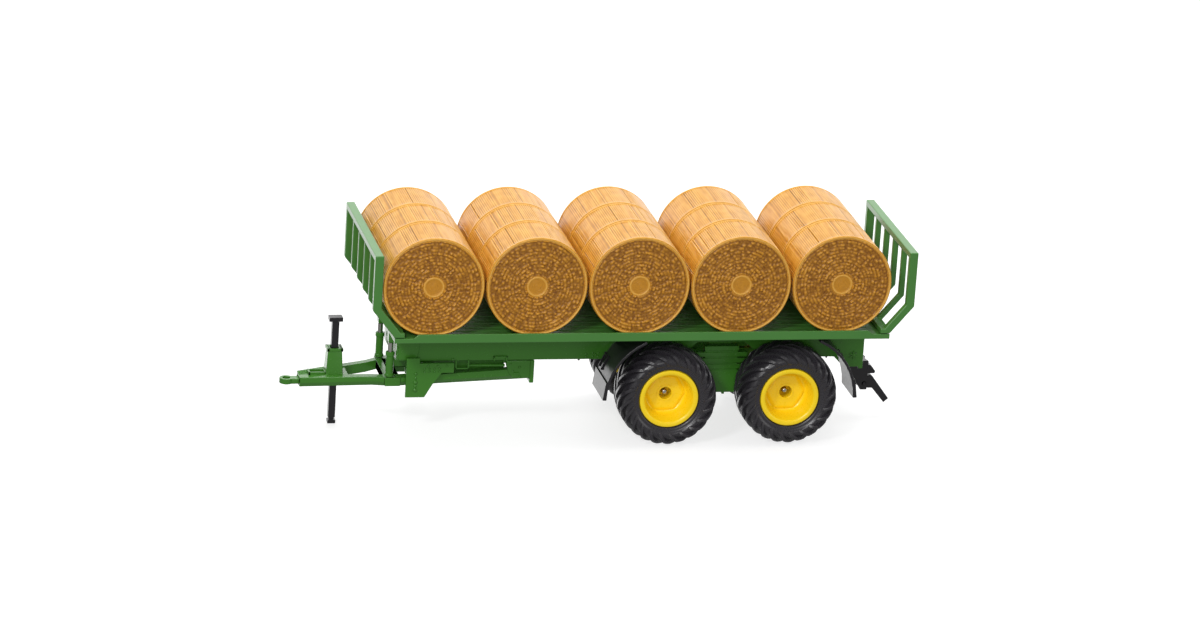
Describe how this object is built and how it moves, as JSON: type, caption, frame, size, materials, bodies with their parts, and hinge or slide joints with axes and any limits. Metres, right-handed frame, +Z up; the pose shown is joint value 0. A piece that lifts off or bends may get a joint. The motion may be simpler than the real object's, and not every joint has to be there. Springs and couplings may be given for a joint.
{
  "type": "toy bale trailer",
  "caption": "Flat-bed toy farm trailer with slatted end gates, rocking tandem wheels, a drawbar with a parking jack, a rear hitch and loose round bales.",
  "frame": {"origin": "middle of the overall length and width, on the ground under the wheels", "axes": "-X points to the drawbar and +X to the rear hitch, -Y is the trailer's left side, +Z is up"},
  "size_m": [0.2854, 0.08, 0.0998],
  "materials": {
    "bed_green": "moulded, satin, mid green",
    "chassis_green": "die-cast metal, gloss green paint",
    "black_plastic": "moulded, half gloss black",
    "tyre_rubber": "soft black, moulded lugs",
    "rim_yellow": "moulded, gloss yellow",
    "bright_steel": "bright drawn steel wire",
    "bale_straw": "moulded, straw gold, textured"
  },
  "bodies": {
    "trailer": {"bed_deck": "bed_green", "front_gate": "bed_green", "rear_gate": "bed_green", "chassis_frame": "chassis_green", "drawbar_frame": "chassis_green", "towing_eye": "chassis_green", "cylinder_barrel_left": "chassis_green", "side_bracket_left": "chassis_green", "cylinder_rod_left": "bright_steel", "drawbar_screw_left": "bright_steel", "mudguard_front_left": "black_plastic", "mudguard_rear_left": "black_plastic", "cylinder_barrel_right": "chassis_green", "side_bracket_right": "chassis_green", "cylinder_rod_right": "bright_steel", "drawbar_screw_right": "bright_steel", "mudguard_front_right": "black_plastic", "mudguard_rear_right": "black_plastic", "bed_screw_1": "bright_steel", "bed_screw_2": "bright_steel", "bed_screw_3": "bright_steel", "bogie_pivot_pin": "bright_steel", "hitch_pin": "bright_steel", "hitch_body": "black_plastic"},
    "jack": {"parking_jack": "black_plastic"},
    "bogie": {"bogie_beam_left": "chassis_green", "bogie_beam_right": "chassis_green"},
    "wheelset_front": {"tyre_front_left": "tyre_rubber", "rim_front_left": "rim_yellow", "tyre_front_right": "tyre_rubber", "rim_front_right": "rim_yellow", "axle_front": "bright_steel"},
    "wheelset_rear": {"tyre_rear_left": "tyre_rubber", "rim_rear_left": "rim_yellow", "tyre_rear_right": "tyre_rubber", "rim_rear_right": "rim_yellow", "axle_rear": "bright_steel"},
    "hitch_lever": {"hitch_lever": "black_plastic"},
    "bale_1_left": {"bale_1_left": "bale_straw"},
    "bale_1_middle": {"bale_1_middle": "bale_straw"},
    "bale_1_right": {"bale_1_right": "bale_straw"},
    "bale_2_left": {"bale_2_left": "bale_straw"},
    "bale_2_middle": {"bale_2_middle": "bale_straw"},
    "bale_2_right": {"bale_2_right": "bale_straw"},
    "bale_3_left": {"bale_3_left": "bale_straw"},
    "bale_3_middle": {"bale_3_middle": "bale_straw"},
    "bale_3_right": {"bale_3_right": "bale_straw"},
    "bale_4_left": {"bale_4_left": "bale_straw"},
    "bale_4_middle": {"bale_4_middle": "bale_straw"},
    "bale_4_right": {"bale_4_right": "bale_straw"},
    "bale_5_left": {"bale_5_left": "bale_straw"},
    "bale_5_middle": {"bale_5_middle": "bale_straw"},
    "bale_5_right": {"bale_5_right": "bale_straw"}
  },
  "joints": [
    {"name": "bogie_rock", "type": "hinge", "parent": "trailer", "child": "bogie", "pos_m": [0.0577, 0, 0.031], "axis": [0, 1, 0], "range_deg": [-5, 5]},
    {"name": "front_wheels_spin", "type": "hinge", "parent": "bogie", "child": "wheelset_front", "pos_m": [0.0296, 0, 0.0227], "axis": [0, 1, 0], "continuous": true},
    {"name": "rear_wheels_spin", "type": "hinge", "parent": "bogie", "child": "wheelset_rear", "pos_m": [0.0858, 0, 0.0227], "axis": [0, 1, 0], "continuous": true},
    {"name": "jack_slide", "type": "slide", "parent": "trailer", "child": "jack", "axis": [0, 0, 1], "range_m": [-0.012, 0.013]},
    {"name": "hitch_lever_hinge", "type": "hinge", "parent": "trailer", "child": "hitch_lever", "pos_m": [0.1298, 0, 0.0171], "axis": [0, 1, 0], "range_deg": [0, 25], "stiffness_Nm_per_rad": 0.002, "springref_deg": -17.19},
    {"name": "bale_1_left_lift", "type": "slide", "parent": "trailer", "child": "bale_1_left", "axis": [0, 0, 1], "range_m": [0, 0.05]},
    {"name": "bale_1_middle_lift", "type": "slide", "parent": "trailer", "child": "bale_1_middle", "axis": [0, 0, 1], "range_m": [0, 0.05]},
    {"name": "bale_1_right_lift", "type": "slide", "parent": "trailer", "child": "bale_1_right", "axis": [0, 0, 1], "range_m": [0, 0.05]},
    {"name": "bale_2_left_lift", "type": "slide", "parent": "trailer", "child": "bale_2_left", "axis": [0, 0, 1], "range_m": [0, 0.05]},
    {"name": "bale_2_middle_lift", "type": "slide", "parent": "trailer", "child": "bale_2_middle", "axis": [0, 0, 1], "range_m": [0, 0.05]},
    {"name": "bale_2_right_lift", "type": "slide", "parent": "trailer", "child": "bale_2_right", "axis": [0, 0, 1], "range_m": [0, 0.05]},
    {"name": "bale_3_left_lift", "type": "slide", "parent": "trailer", "child": "bale_3_left", "axis": [0, 0, 1], "range_m": [0, 0.05]},
    {"name": "bale_3_middle_lift", "type": "slide", "parent": "trailer", "child": "bale_3_middle", "axis": [0, 0, 1], "range_m": [0, 0.05]},
    {"name": "bale_3_right_lift", "type": "slide", "parent": "trailer", "child": "bale_3_right", "axis": [0, 0, 1], "range_m": [0, 0.05]},
    {"name": "bale_4_left_lift", "type": "slide", "parent": "trailer", "child": "bale_4_left", "axis": [0, 0, 1], "range_m": [0, 0.05]},
    {"name": "bale_4_middle_lift", "type": "slide", "parent": "trailer", "child": "bale_4_middle", "axis": [0, 0, 1], "range_m": [0, 0.05]},
    {"name": "bale_4_right_lift", "type": "slide", "parent": "trailer", "child": "bale_4_right", "axis": [0, 0, 1], "range_m": [0, 0.05]},
    {"name": "bale_5_left_lift", "type": "slide", "parent": "trailer", "child": "bale_5_left", "axis": [0, 0, 1], "range_m": [0, 0.05]},
    {"name": "bale_5_middle_lift", "type": "slide", "parent": "trailer", "child": "bale_5_middle", "axis": [0, 0, 1], "range_m": [0, 0.05]},
    {"name": "bale_5_right_lift", "type": "slide", "parent": "trailer", "child": "bale_5_right", "axis": [0, 0, 1], "range_m": [0, 0.05]}
  ]
}
